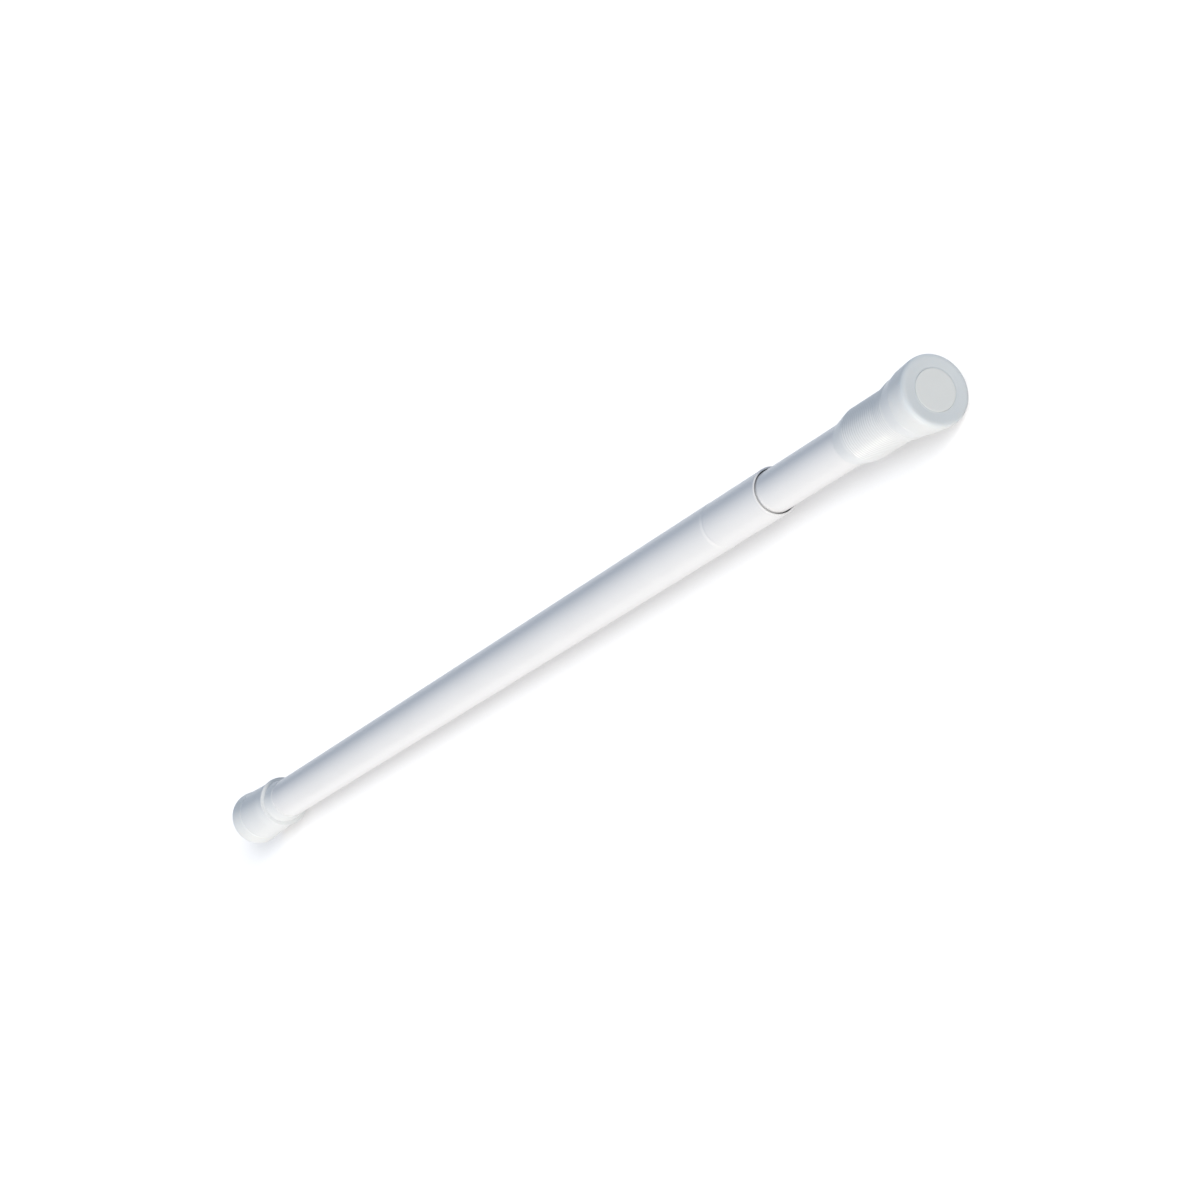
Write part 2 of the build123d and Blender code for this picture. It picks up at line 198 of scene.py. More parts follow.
def turned(name, corners, witness=0.0):
    """Turn a closed outline about X.

    `witness` raises the two lines where the halves of a mould meet.
    """
    outline = rounded(corners)
    shape = bmesh.new()
    rings = []
    for x, radius in outline:
        if radius < ON_AXIS:
            rings.append([shape.verts.new((x, 0, 0))])
            continue
        ring = []
        for step in range(SEGMENTS):
            angle = 2 * math.pi * (step / SEGMENTS + MOULD_LINE_TURN)
            proud = witness if step % (SEGMENTS // 2) == 0 else 0
            reach = radius + proud
            ring.append(shape.verts.new((x, reach * math.cos(angle), reach * math.sin(angle))))
        rings.append(ring)
    for index, ring in enumerate(rings):
        following = rings[(index + 1) % len(rings)]
        for step in range(SEGMENTS):
            after = (step + 1) % SEGMENTS
            if len(ring) == 1 and len(following) == 1:
                break
            if len(ring) == 1:
                shape.faces.new((ring[0], following[step], following[after]))
            elif len(following) == 1:
                shape.faces.new((ring[step], ring[after], following[0]))
            else:
                shape.faces.new((ring[step], ring[after], following[after], following[step]))
    return closed_mesh(name, shape)


def groove(centre, radius, sizes, after=0.0):
    """Corners of a rolled groove; the surface goes on at `radius - after` past it."""
    half = sizes.groove_half_width
    soft = sizes.groove_rounding
    return [
        (centre - half, radius, soft),
        (centre, radius - sizes.groove_depth, soft),
        (centre + half, radius - after, soft),
    ]


# ---- Sizes and colours ----
class TubeSizes(bpy.types.PropertyGroup):
    """Tube walls and rolled grooves."""

    wall: FloatProperty(
        name="Wall", description="Steel thickness of both tubes",
        default=0.8 * MM, min=0.3 * MM, unit="LENGTH", precision=5)
    groove_depth: FloatProperty(
        name="Groove Depth", description="Depth of the rolled grooves",
        default=0.4 * MM, unit="LENGTH", precision=5)
    groove_half_width: FloatProperty(
        name="Groove Half Width", description="Half the width of a rolled groove",
        default=1.6 * MM, unit="LENGTH", precision=5)
    groove_rounding: FloatProperty(
        name="Groove Rounding", description="Radius of the groove's bends",
        default=0.8 * MM, unit="LENGTH", precision=5)
    crimp_to_mouth: FloatProperty(
        name="Groove to Mouth", description="Outer tube's groove, from its mouth",
        default=50 * MM, unit="LENGTH")
    swage: FloatProperty(
        name="Mouth Swage", description="How far the mouth is drawn down past the groove",
        default=0.1 * MM, unit="LENGTH", precision=5)
    mouth_rounding: FloatProperty(
        name="Mouth Rounding", description="Rounding of the mouth's edges",
        default=0.25 * MM, unit="LENGTH", precision=5)


class CapSizes(bpy.types.PropertyGroup):
    """Ribbed grip cap, far cup and collar."""

    rib_pitch: FloatProperty(
        name="Rib Pitch", description="Distance from rib to rib on the neck",
        default=1.7 * MM, unit="LENGTH", precision=5)
    rib_height: FloatProperty(
        name="Rib Height", description="Height of each rib",
        default=0.3 * MM, unit="LENGTH", precision=5)
    rib_margin: FloatProperty(
        name="Rib Margin", description="Plain neck before the first rib",
        default=1.5 * MM, unit="LENGTH", precision=5)
    rib_count: IntProperty(
        name="Ribs", description="Number of ribs up the neck and flare",
        default=21, min=1)
    neck_wall: FloatProperty(
        name="Neck Wall", description="Neck outside the inner tube",
        default=2 * MM, unit="LENGTH", precision=5)
    neck_length: FloatProperty(
        name="Neck Length", description="Ribbed neck, nose to flare",
        default=28.5 * MM, unit="LENGTH")
    nose_length: FloatProperty(
        name="Nose Length", description="Tapered nose before the neck",
        default=9 * MM, unit="LENGTH")
    flare_length: FloatProperty(
        name="Flare Length", description="Neck to the foot's lip",
        default=17 * MM, unit="LENGTH")
    waist_wall: FloatProperty(
        name="Flare Wall", description="Halfway down the flare, outside the inner tube",
        default=3.4 * MM, unit="LENGTH", precision=5)
    blend: FloatProperty(
        name="Flare Rounding", description="Radius that blends the flares",
        default=14 * MM, unit="LENGTH")
    web: FloatProperty(
        name="Web", description="Wall that closes each cap's socket",
        default=2.3 * MM, unit="LENGTH", precision=5)
    witness: FloatProperty(
        name="Mould Line", description="Height of the line where the mould's halves met",
        default=0.03 * MM, unit="LENGTH", precision=6)


class FootSizes(bpy.types.PropertyGroup):
    """Soft foot, the same at both ends."""

    face_radius: FloatProperty(
        name="Face Radius", description="Flat of the face, to its rounded edge",
        default=13.3 * MM, unit="LENGTH", precision=5)
    edge_rounding: FloatProperty(
        name="Edge Rounding", description="Rounding of the face's rim",
        default=1.8 * MM, unit="LENGTH", precision=5)
    thickness: FloatProperty(
        name="Thickness", description="Foot in front of the cap's head",
        default=3.2 * MM, unit="LENGTH", precision=5)
    sleeve: FloatProperty(
        name="Sleeve", description="Length over the cap's head",
        default=9.8 * MM, unit="LENGTH", precision=5)
    lip_wall: FloatProperty(
        name="Lip Wall", description="Sleeve's thickness at its open edge",
        default=1.05 * MM, unit="LENGTH", precision=5)
    ring_inner: FloatProperty(
        name="Ring Inner Radius", description="Sloping ring's inner radius",
        default=9 * MM, unit="LENGTH", precision=5)
    ring_outer: FloatProperty(
        name="Ring Outer Radius", description="Sloping ring's outer radius",
        default=12.9 * MM, unit="LENGTH", precision=5)
    ring_depth: FloatProperty(
        name="Ring Depth", description="Depth of the sloping ring at the stud",
        default=0.45 * MM, unit="LENGTH", precision=5)


class LockSizes(bpy.types.PropertyGroup):
    """Spring, thread, collar and hexagonal bar."""

    spring_turns: FloatProperty(
        name="Spring Turns", description="Turns in the spring",
        default=18, min=4)
    spring_wire: FloatProperty(
        name="Spring Wire", description="Diameter of the spring's wire",
        default=1.8 * MM, unit="LENGTH", precision=5)
    thread_radius: FloatProperty(
        name="Thread Radius", description="Outside radius of the thread",
        default=4 * MM, unit="LENGTH", precision=5)
    thread_pitch: FloatProperty(
        name="Thread Pitch", description="Pitch of the spindle's thread",
        default=1.25 * MM, unit="LENGTH", precision=5)
    thread_depth: FloatProperty(
        name="Thread Depth", description="Depth of the spindle's thread",
        default=0.7 * MM, unit="LENGTH", precision=5)
    collar_radius: FloatProperty(
        name="Collar Radius", description="Radius of the thrust collar",
        default=6.5 * MM, unit="LENGTH", precision=5)
    collar_length: FloatProperty(
        name="Collar Length", description="Length of the thrust collar",
        default=3 * MM, unit="LENGTH", precision=5)
    hex_across_flats: FloatProperty(
        name="Hexagon", description="Hexagonal bar across its flats",
        default=8 * MM, unit="LENGTH", precision=5)


class RodColours(bpy.types.PropertyGroup):
    """Base colours of the finishes."""

    coat: FloatVectorProperty(
        name="Powder Coat", description="Coat on both tubes", subtype="COLOR",
        size=4, min=0, max=1, default=linear("#F1F1F2"))
    caps: FloatVectorProperty(
        name="Caps", description="Moulded caps and collar", subtype="COLOR",
        size=4, min=0, max=1, default=linear("#EDEFF0"))
    feet: FloatVectorProperty(
        name="Feet", description="Soft feet, over the white heads",
        subtype="COLOR", size=4, min=0, max=1, default=linear("#EDEFEF"))
    foot_faces: FloatVectorProperty(
        name="Foot Faces", description="Soft feet, thick at the face",
        subtype="COLOR", size=4, min=0, max=1,
        default=linear("#E2E7EA"))
    studs: FloatVectorProperty(
        name="Studs", description="Stud heads", subtype="COLOR",
        size=4, min=0, max=1, default=linear("#EFF1F0"))


class StageSettings(bpy.types.PropertyGroup):
    """Camera, floor and lamps."""

    camera_place: FloatVectorProperty(
        name="Camera Place", description="Where the camera stands",
        subtype="TRANSLATION", unit="LENGTH", size=3, default=(1.9572, -0.4030, 0.6980))
    camera_turn: FloatVectorProperty(
        name="Camera Turn", description="Camera's rotation about X, Y and Z",
        subtype="EULER", unit="ROTATION", size=3,
        default=tuple(math.radians(a) for a in (2.505, 65.301, -12.653)))
    lens: FloatProperty(
        name="Lens", description="Focal length in millimetres",
        default=108, min=10)
    floor_lamp: FloatProperty(
        name="Floor Lamp", description="Overhead lamp that whitens the floor",
        default=1.21, min=0)
    side_lamp: FloatProperty(
        name="Side Lamp", description="Broad lamp beside the rod",
        default=1.31, min=0)
    side_lamp_place: FloatVectorProperty(
        name="Side Lamp Place", description="Where the side lamp shines from",
        subtype="TRANSLATION", unit="LENGTH", size=3, default=(0.135, -0.95, 0.28))
    end_lamp: FloatProperty(
        name="End Lamp", description="Lamp that faces the near foot",
        default=1.62, min=0)
    end_lamp_place: FloatVectorProperty(
        name="End Lamp Place", description="Where the end lamp shines from",
        subtype="TRANSLATION", unit="LENGTH", size=3, default=(2, -1.074, 0.317))
    back_lamp: FloatProperty(
        name="Back Lamp", description="Light thrown back up by the floor behind the rod",
        default=0.56, min=0)
    back_lamp_place: FloatVectorProperty(
        name="Back Lamp Place", description="Where the back lamp shines from",
        subtype="TRANSLATION", unit="LENGTH", size=3, default=(0.4, 0.94, -0.34))
    shadow_lamp: FloatProperty(
        name="Shadow Lamp", description="Soft lamp above the camera that casts the floor's shadow",
        default=2.8, min=0)
    shadow_lamp_rise: FloatProperty(
        name="Shadow Lamp Rise", description="Angle above the camera's line",
        subtype="ANGLE", default=math.radians(15))
    shadow_lamp_angle: FloatProperty(
        name="Shadow Lamp Angle", description="Its breadth, which softens the shadow",
        subtype="ANGLE", default=math.radians(25))
    sky_above: FloatProperty(
        name="Sky Above", description="Surrounding light from straight up",
        default=1.17, min=0)
    sky_below: FloatProperty(
        name="Sky Below", description="Surrounding light from straight down",
        default=0.33, min=0)


# ---- Finishes ----
SCATTER_REACH = 1.5 * MM          # how far light spreads inside the plastics
SCATTER_TINT = (1.0, 0.9, 0.8)    # red goes furthest


def start_finish(name, roughness, ior=1.5, metallic=0.0, subsurface=0.0):
    """New material with even values, its tree, its shader and the piece's own coordinates."""
    material = bpy.data.materials.new(name)
    material.use_nodes = True
    tree = material.node_tree
    shader = tree.nodes["Principled BSDF"]
    shader.inputs["Roughness"].default_value = roughness
    shader.inputs["IOR"].default_value = ior
    shader.inputs["Metallic"].default_value = metallic
    shader.inputs["Subsurface Weight"].default_value = subsurface
    shader.inputs["Subsurface Radius"].default_value = SCATTER_TINT
    shader.inputs["Subsurface Scale"].default_value = SCATTER_REACH
    return material, tree, shader, add(tree, "ShaderNodeTexCoord").outputs["Object"]


def vary_colour(tree, shader, pattern, low, high):
    """Run the base colour between two near tones by a pattern."""
    mix = add(tree, "ShaderNodeMix", {0: pattern, 6: low, 7: high}, data_type="RGBA")
    tree.links.new(mix.outputs[2], shader.inputs["Base Color"])
    return mix


def vary_roughness(tree, shader, pattern, low, high):
    """Run the roughness between two values by a pattern."""
    span = add(tree, "ShaderNodeMapRange",
               {"Value": pattern, "To Min": low, "To Max": high})
    tree.links.new(span.outputs["Result"], shader.inputs["Roughness"])


def raise_grain(tree, shader, pattern, height):
    """Lift the surface by a pattern, `height` in millimetres."""
    bump = add(tree, "ShaderNodeBump",
               {"Height": pattern, "Distance": height * MM, "Strength": 1.0})
    tree.links.new(bump.outputs["Normal"], shader.inputs["Normal"])


def tone(colour, share):
    """The colour brought down to this share, alpha kept."""
    return tuple(channel * share for channel in tuple(colour)[:3]) + (1.0,)


def powder_coat(name, colour, rubbed):
    """Polyester powder coat on steel, sprayed and baked.

    Gives the eye a clean white with a half gloss, broken by a faint orange peel 2 mm across. On
    the tube that slides, the guide bush has drawn fine dull lines along it.
    """
    material, tree, shader, place = start_finish(name, 0.34, ior=1.52)
    peel = add(tree, "ShaderNodeTexNoise", {"Vector": place, "Scale": per_mm(2.0), "Detail": 1.5})
    cloud = add(tree, "ShaderNodeTexNoise", {"Vector": place, "Scale": per_mm(25.0), "Detail": 3.0})
    vary_colour(tree, shader, cloud.outputs["Fac"], tone(colour, 0.955), colour)
    raise_grain(tree, shader, peel.outputs["Fac"], 0.035)
    if rubbed:
        # rub lines are about 0.05 mm wide; drawn at 0.4 mm so that they show
        along = add(tree, "ShaderNodeMapping",
                    {"Vector": place, "Scale": (per_mm(70), per_mm(0.4), per_mm(0.4))})
        lines = add(tree, "ShaderNodeTexNoise",
                    {"Vector": along.outputs["Vector"], "Scale": 1.0, "Detail": 2.0})
        vary_roughness(tree, shader, lines.outputs["Fac"], 0.24, 0.46)
    else:
        vary_roughness(tree, shader, cloud.outputs["Fac"], 0.29, 0.38)
    return material


def moulded_abs(name, colour, ribs=None):
    """ABS, injection moulded against a spark-eroded steel mould.

    Gives the eye an even cool white with a satin grain. Hands polish the rib crests, and painted
    shade greys the roots between the ribs; `ribs` is the first rib's place, the pitch and the
    ribbed length.
    """
    material, tree, shader, place = start_finish(name, 0.4, ior=1.53, subsurface=0.04)
    # spark grain is about 0.1 mm; drawn at 0.3 mm so that it shows
    grain = add(tree, "ShaderNodeTexNoise", {"Vector": place, "Scale": per_mm(0.3), "Detail": 2.0})
    flow = add(tree, "ShaderNodeTexNoise", {"Vector": place, "Scale": per_mm(12), "Detail": 2.0})
    mix = vary_colour(tree, shader, flow.outputs["Fac"], tone(colour, 0.96), colour)
    vary_roughness(tree, shader, flow.outputs["Fac"], 0.36, 0.46)
    raise_grain(tree, shader, grain.outputs["Fac"], 0.012)
    if ribs:
        first, pitch, length = ribs
        crest = add(tree, "ShaderNodeTexWave",
                    {"Vector": place, "Scale": waves(pitch),
                     "Phase Offset": -2 * math.pi * first / pitch},
                    wave_type="BANDS", bands_direction="X")
        dull = add(tree, "ShaderNodeMapRange",
                   {"Value": crest.outputs["Fac"], "To Min": 1.0, "To Max": 0.0})
        along = add(tree, "ShaderNodeSeparateXYZ", {"Vector": place}).outputs["X"]
        ribbed = add(tree, "ShaderNodeMath",
                     {0: along, 1: first + length / 2, 2: length / 2}, operation="COMPARE")
        rib_root_wear_and_shade = add(tree, "ShaderNodeMath",
                      {0: dull.outputs["Result"], 1: ribbed.outputs["Value"]},
                      operation="MULTIPLY")
        # painted shade: the roots between the ribs are greyed to 0.86 of the colour, and they are
        # also rougher
        painted_rib_root_shade = add(tree, "ShaderNodeMix", {0: rib_root_wear_and_shade.outputs["Value"], 6: mix.outputs[2],
                                           7: tone(colour, 0.86)}, data_type="RGBA")
        tree.links.new(painted_rib_root_shade.outputs[2], shader.inputs["Base Color"])
        vary_roughness(tree, shader, rib_root_wear_and_shade.outputs["Value"], 0.34, 0.52)
    return material


def soft_pvc(name, colour, greyer=None, subsurface=0.25):
    """Plasticised PVC, injection moulded and a little see-through.

    Gives the eye a dull skin with faint rings from the turned mould. It is a cooler grey at the
    face and fades to its own colour further back; the optional argument gives that grey, the X of
    the face and the X where the grey has gone.
    """
    material, tree, shader, place = start_finish(name, 0.48, ior=1.53, subsurface=subsurface)
    skin = add(tree, "ShaderNodeTexNoise", {"Vector": place, "Scale": per_mm(0.5), "Detail": 2.0})
    # tool rings are about 0.1 mm apart; drawn at 0.5 mm so that they show
    rings = add(tree, "ShaderNodeTexWave",
                {"Vector": place, "Scale": waves(0.5 * MM), "Distortion": 0.4},
                wave_type="RINGS", rings_direction="X")
    haze = add(tree, "ShaderNodeTexNoise", {"Vector": place, "Scale": per_mm(7), "Detail": 3.0})
    both = add(tree, "ShaderNodeMath", {0: skin.outputs["Fac"], 1: rings.outputs["Fac"]},
               operation="ADD")
    mix = vary_colour(tree, shader, haze.outputs["Fac"], tone(colour, 0.96), colour)
    vary_roughness(tree, shader, haze.outputs["Fac"], 0.42, 0.56)
    raise_grain(tree, shader, both.outputs["Value"], 0.006)
    if greyer:
        painted_rib_root_shade, face, gone = greyer
        # the base colour is greyer at the face and fades to the skin's colour further back
        along = add(tree, "ShaderNodeSeparateXYZ", {"Vector": place}).outputs["X"]
        depth = add(tree, "ShaderNodeMapRange",
                    {"Value": along, "From Min": face, "From Max": gone})
        face_greying = add(tree, "ShaderNodeMix",
                   {0: depth.outputs["Result"], 6: painted_rib_root_shade, 7: mix.outputs[2]}, data_type="RGBA")
        tree.links.new(face_greying.outputs[2], shader.inputs["Base Color"])
    return material


def moulded_nylon(name, hex_colour):
    """Nylon 6, injection moulded.

    Gives the eye a milky, slightly warm plastic with a waxy gloss and soft flow marks.
    """
    colour = linear(hex_colour)
    material, tree, shader, place = start_finish(name, 0.36, ior=1.53, subsurface=0.15)
    grain = add(tree, "ShaderNodeTexNoise", {"Vector": place, "Scale": per_mm(0.4), "Detail": 2.0})
    flow = add(tree, "ShaderNodeTexNoise",
               {"Vector": place, "Scale": per_mm(5), "Detail": 2.0, "Distortion": 1.0})
    vary_colour(tree, shader, flow.outputs["Fac"], tone(colour, 0.9), colour)
    vary_roughness(tree, shader, flow.outputs["Fac"], 0.3, 0.44)
    raise_grain(tree, shader, grain.outputs["Fac"], 0.008)
    return material


def turned_acetal(name, hex_colour):
    """Acetal, turned from bar.

    Gives the eye a dense, slippery plastic with the lathe tool's fine rings.
    """
    colour = linear(hex_colour)
    material, tree, shader, place = start_finish(name, 0.3, ior=1.48, subsurface=0.08)
    # feed marks are about 0.1 mm apart; drawn at 0.4 mm so that they show
    feed = add(tree, "ShaderNodeTexWave",
               {"Vector": place, "Scale": waves(0.4 * MM), "Distortion": 0.3},
               wave_type="BANDS", bands_direction="X")
    cloud = add(tree, "ShaderNodeTexNoise", {"Vector": place, "Scale": per_mm(6), "Detail": 2.0})
    vary_colour(tree, shader, cloud.outputs["Fac"], tone(colour, 0.9), colour)
    vary_roughness(tree, shader, feed.outputs["Fac"], 0.26, 0.38)
    raise_grain(tree, shader, feed.outputs["Fac"], 0.006)
    return material


def zinc_plate(name, ringed):
    """Steel, turned and bright zinc plated with a blue passivate.

    Gives the eye a cool silvery metal clouded with pale blue and straw, and the lathe tool's
    rings if `ringed`.
    """
    material, tree, shader, place = start_finish(name, 0.3, metallic=1.0)
    bloom = add(tree, "ShaderNodeTexNoise", {"Vector": place, "Scale": per_mm(3), "Detail": 3.0})
    vary_colour(tree, shader, bloom.outputs["Fac"], linear("#BCC6D2"), linear("#D6D3C6"))
    vary_roughness(tree, shader, bloom.outputs["Fac"], 0.22, 0.42)
    if ringed:
        # feed marks are about 0.1 mm apart; drawn at 0.25 mm so that they show
        feed = add(tree, "ShaderNodeTexWave",
                   {"Vector": place, "Scale": waves(0.25 * MM), "Distortion": 0.3},
                   wave_type="BANDS", bands_direction="X")
        raise_grain(tree, shader, feed.outputs["Fac"], 0.006)
    else:
        raise_grain(tree, shader, bloom.outputs["Fac"], 0.01)
    return material


def spring_steel(name):
    """Hard-drawn spring wire, coiled cold and oiled.

    Gives the eye a dark warm grey metal with dull patches where the drawing soap stayed.
    """
    material, tree, shader, place = start_finish(name, 0.38, metallic=1.0)
    scale = add(tree, "ShaderNodeTexNoise", {"Vector": place, "Scale": per_mm(1.2), "Detail": 4.0})
    vary_colour(tree, shader, scale.outputs["Fac"], linear("#6B6966"), linear("#9C9A96"))
    vary_roughness(tree, shader, scale.outputs["Fac"], 0.28, 0.52)
    raise_grain(tree, shader, scale.outputs["Fac"], 0.01)
    return material


def backdrop_paper(name):
    """White backdrop paper, matt and slightly toothed; it reads as one even white."""
    material, tree, shader, place = start_finish(name, 0.9, ior=1.3)
    tooth = add(tree, "ShaderNodeTexNoise", {"Vector": place, "Scale": per_mm(1.5), "Detail": 2.0})
    vary_colour(tree, shader, tooth.outputs["Fac"], linear("#F4F4F4"), linear("#F8F8F8"))
    shader.inputs["Specular IOR Level"].default_value = 0.2
    return material


def refinish(node, material):
    """Give a CAD node that keeps its own shape its real finish."""
    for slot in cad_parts[node].material_slots:
        slot.material = material


# ---- Operators ----
class ROD_OT_tubes(bpy.types.Operator):
    """Coated outer tube with its groove and swaged mouth, and the inner tube that slides in it"""

    bl_idname = "rod.tubes"
    bl_label = "Tubes"

    def execute(self, context):
        sizes = context.scene.rod_tubes
        colour = context.scene.rod_colours.coat
        deburr = 0.2 * MM
        start, mouth = left("outer_tube"), right("outer_tube")
        outside = radius_of("outer_tube")
        bore = outside - sizes.wall
        crimp = mouth - sizes.crimp_to_mouth
        drawn = outside - sizes.swage
        outer = turned("coated_outer_tube", [
            (start, outside, deburr),
            *groove(crimp, outside, sizes, sizes.swage),
            (mouth, drawn, sizes.mouth_rounding),
            (mouth, drawn - sizes.wall, sizes.mouth_rounding),
            *reversed(groove(crimp, bore, sizes, sizes.swage)),
            (start, bore, deburr),
        ])
        new_piece("coated_outer_tube", outer, powder_coat("powder_coat_outer", colour, False),
                  "outer_section", "powder_coated_steel", "outer_tube")

        start, end = left("inner_tube"), right("inner_tube")
        outside = radius_of("inner_tube")
        bore = outside - sizes.wall
        bush_groove = (start + right("tube_end_bush")) / 2
        seat_length = 10 * MM                       # of the seat that fills the tube
        seat_groove = right("spring_seat") - seat_length / 2
        inner = turned("coated_inner_tube", [
            (start, outside, deburr),
            *groove(bush_groove, outside, sizes),
            *groove(seat_groove, outside, sizes),
            (end, outside, deburr),
            (end, bore, deburr),
            *reversed(groove(seat_groove, bore, sizes)),
            *reversed(groove(bush_groove, bore, sizes)),
            (start, bore, deburr),
        ])
        new_piece("coated_inner_tube", inner, powder_coat("powder_coat_inner", colour, True),
                  "inner_section", "powder_coated_steel", "inner_tube")
        return {"FINISHED"}


class ROD_OT_grip_cap(bpy.types.Operator):
    """Near end cap with its tapered nose, ribbed neck and flare"""

    bl_idname = "rod.grip_cap"
    bl_label = "Grip Cap"

    def execute(self, context):
        sizes = context.scene.rod_caps
        tube = radius_of("inner_tube")
        nose, head = left("grip_cap"), right("grip_cap")
        neck = nose + sizes.nose_length
        flare = neck + sizes.neck_length
        lip = flare + sizes.flare_length
        neck_radius = tube + sizes.neck_wall
        head_radius = radius_of("outer_tube") + HEAD_WALL
        shoulder = radius_of("grip_cap")
        socket = tube + FIT
        edge = 0.5 * MM
        crest_lift = 1.15                           # makes up for what the rounding takes off
        crest_rounding, root_rounding = 0.32 * MM, 0.12 * MM
        corners = [
            (nose, socket),
            (nose, tube + NOSE_TIP, 0.15 * MM),
            (neck, neck_radius, 0.8 * MM),
        ]
        slope = (sizes.waist_wall - sizes.neck_wall) / (sizes.flare_length / 2)
        for half_rib in range(2 * sizes.rib_count + 1):
            station = neck + sizes.rib_margin + half_rib * sizes.rib_pitch / 2
            root = neck_radius + max(0, station - flare) * slope
            if half_rib % 2:
                crest = root + sizes.rib_height * crest_lift
                corners.append((station, crest, crest_rounding))
            else:
                corners.append((station, root, root_rounding))
        corners += [
            (lip, shoulder, edge),
            (lip, head_radius),
            (head, head_radius, edge),
            (head, STUD_SHANK),
            (head - sizes.web, STUD_SHANK),
            (head - sizes.web, socket),
        ]
        mesh = turned("ribbed_grip_cap", corners, sizes.witness)
        ribs = (neck + sizes.rib_margin, sizes.rib_pitch, sizes.rib_count * sizes.rib_pitch)
        material = moulded_abs("moulded_abs_grip", context.scene.rod_colours.caps, ribs)
        new_piece("ribbed_grip_cap", mesh, material, "inner_section", "abs", "grip_cap")
        return {"FINISHED"}


class ROD_OT_far_cap(bpy.types.Operator):
    """Far cup and the flanged collar that backs it"""

    bl_idname = "rod.far_cap"
    bl_label = "Far Cup and Collar"

    def execute(self, context):
        sizes = context.scene.rod_caps
        foot = context.scene.rod_feet
        colour = context.scene.rod_colours.caps
        tube = radius_of("outer_tube")
        head, neck = left("far_cup"), right("far_cup")
        lip = head + foot.sleeve
        socket = tube + FIT
        head_radius = tube + HEAD_WALL
        edge = 0.5 * MM
        waist = neck - 9 * MM                       # the taper eases off here
        waist_radius, neck_radius = tube + 2.7 * MM, tube + 1.7 * MM
        cup = turned("moulded_far_cup", [
            (head, STUD_SHANK),
            (head, head_radius, edge),
            (lip, head_radius),
            (lip, radius_of("far_cup"), edge),
            (waist, waist_radius, sizes.blend),
            (neck, neck_radius, 0.15 * MM),
            (neck, socket),
            (head + sizes.web, socket),
            (head + sizes.web, STUD_SHANK),
        ], sizes.witness)
        new_piece("moulded_far_cup", cup, moulded_abs("moulded_abs_cup", colour),
                  "outer_section", "abs", "far_cup")

        start, end = left("far_collar"), right("far_collar")
        flange = radius_of("far_collar")
        flange_face = start + 1.8 * MM
        nose_foot = tube + 1.0 * MM                 # the nose, where it meets the flange
        rim, tip = 0.4 * MM, 0.2 * MM
        collar = turned("moulded_far_collar", [
            (start, socket),
            (start, flange, rim),
            (flange_face, flange, rim),
            (flange_face, nose_foot, tip),
            (end, tube + NOSE_TIP, tip),
            (end, socket),
        ], sizes.witness)
        new_piece("moulded_far_collar", collar, moulded_abs("moulded_abs_collar", colour),
                  "outer_section", "abs", "far_collar")
        return {"FINISHED"}


class ROD_OT_feet(bpy.types.Operator):
    """Soft feet with their shallow rings, one at each end"""

    bl_idname = "rod.feet"
    bl_label = "Soft Feet"

    def execute(self, context):
        sizes = context.scene.rod_feet
        head_radius = radius_of("outer_tube") + HEAD_WALL
        pocket = head_radius + FIT
        bulge = head_radius + 1.85 * MM             # widest, level with the head's face
        seat = 1.6 * MM                             # the stud's head sits this deep
        lip = sizes.thickness + sizes.sleeve
        # the ring slopes in to a narrow land, which rises a little to the stud
        land, land_depth = 0.5 * MM, 0.6 * sizes.ring_depth
        colours = context.scene.rod_colours
        # (distance behind the face, radius, rounding)
        corners = [
            (0, sizes.ring_outer, 1.5 * MM),
            (0, sizes.face_radius + sizes.edge_rounding, sizes.edge_rounding),
            (sizes.thickness, bulge, 2.5 * MM),
            (lip, head_radius + sizes.lip_wall, 0.5 * MM),
            (lip, pocket),
            (sizes.thickness, pocket),
            (sizes.thickness, STUD_SHANK),
            (seat, STUD_SHANK),
            (seat, sizes.ring_inner),
            (land_depth, sizes.ring_inner, 0.1 * MM),
            (sizes.ring_depth, sizes.ring_inner + land, 0.3 * MM),
        ]
        for name, node, face, way, body in (
            ("soft_far_foot", "far_foot", left("far_foot"), 1, "outer_section"),
            ("soft_near_foot", "near_foot", right("near_foot"), -1, "inner_section"),
        ):
            placed = [(face + way * corner[0], *corner[1:]) for corner in corners]
            # each foot is coloured greyer at its face than along its sleeve
            greyer = (colours.foot_faces, face + way * sizes.ring_depth,
                     face + way * sizes.thickness)
            material = soft_pvc("soft_pvc_" + node, colours.feet, greyer)
            new_piece(name, turned(name, placed), material, body, "soft_pvc", node)
        return {"FINISHED"}


class ROD_OT_studs(bpy.types.Operator):
    """Finish of the push-in studs and of the plugs that they snap into"""

    bl_idname = "rod.studs"
    bl_label = "Studs and Plugs"

    def execute(self, context):
        # nylon heads with the feet's dull skin, and less see-through
        stud = soft_pvc("moulded_nylon_stud", context.scene.rod_colours.studs, subsurface=0.1)
        refinish("near_foot_stud", stud)
        refinish("far_foot_stud", stud)
        plug = moulded_nylon("moulded_nylon_plug", "#E4E1D6")
        refinish("near_tube_plug", plug)
        refinish("far_tube_plug", plug)
        return {"FINISHED"}


